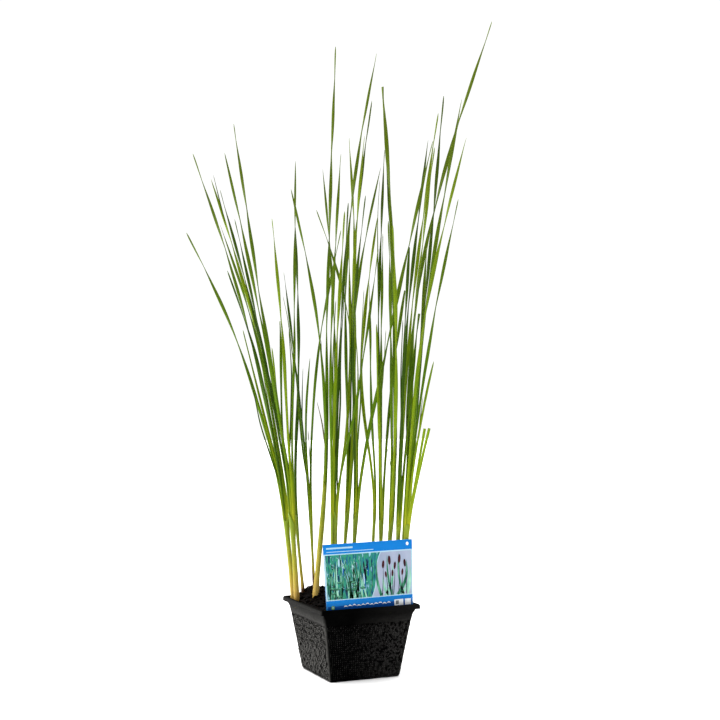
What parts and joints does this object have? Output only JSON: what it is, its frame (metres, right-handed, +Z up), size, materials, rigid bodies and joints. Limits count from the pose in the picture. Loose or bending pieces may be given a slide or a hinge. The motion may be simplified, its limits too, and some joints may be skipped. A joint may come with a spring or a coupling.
{
  "type": "potted narrowleaf cattail",
  "caption": "Narrowleaf cattail with tall, narrow, twisted upright leaves in tight shoots, growing from soil in a square tapered pond basket with an upright plant label.",
  "frame": {"origin": "centre of the basket's underside, on the surface it stands on", "axes": "+Z up along the leaves, -Y towards the label's printed side, +X to the label's right as it is read"},
  "size_m": [0.3094, 0.3507, 0.73],
  "materials": {
    "basket": "satin",
    "soil": "matte",
    "label": "gloss",
    "leaf": "satin"
  },
  "bodies": {
    "root": {"basket": "basket", "soil": "soil", "label": "label", "leaf_a1": "leaf", "leaf_a2": "leaf", "leaf_a3": "leaf", "leaf_a4": "leaf", "leaf_a5": "leaf", "leaf_b1": "leaf", "leaf_b2": "leaf", "leaf_b3": "leaf", "leaf_b4": "leaf", "leaf_b5": "leaf", "leaf_b6": "leaf", "leaf_c1": "leaf", "leaf_c2": "leaf", "leaf_c3": "leaf", "leaf_d1": "leaf", "leaf_d2": "leaf", "leaf_d3": "leaf", "leaf_e1": "leaf", "leaf_e2": "leaf", "leaf_f1": "leaf", "leaf_f2": "leaf", "leaf_f3": "leaf", "leaf_f4": "leaf", "leaf_f5": "leaf", "leaf_f6": "leaf", "leaf_g1": "leaf", "leaf_g2": "leaf", "leaf_g3": "leaf", "leaf_g4": "leaf", "leaf_h1": "leaf", "leaf_h2": "leaf", "leaf_h3": "leaf", "leaf_h4": "leaf", "leaf_i1": "leaf", "leaf_i2": "leaf", "leaf_j1": "leaf", "leaf_j2": "leaf", "leaf_j3": "leaf", "leaf_j4": "leaf", "leaf_k1": "leaf", "leaf_k2": "leaf", "leaf_k3": "leaf", "leaf_k4": "leaf", "leaf_l1": "leaf", "leaf_l2": "leaf", "leaf_l3": "leaf", "leaf_l4": "leaf", "leaf_m1": "leaf", "leaf_m2": "leaf", "leaf_m3": "leaf", "leaf_m4": "leaf", "leaf_m5": "leaf", "leaf_n1": "leaf", "leaf_n2": "leaf", "leaf_n3": "leaf", "leaf_n4": "leaf", "leaf_n5": "leaf"}
  },
  "joints": []
}
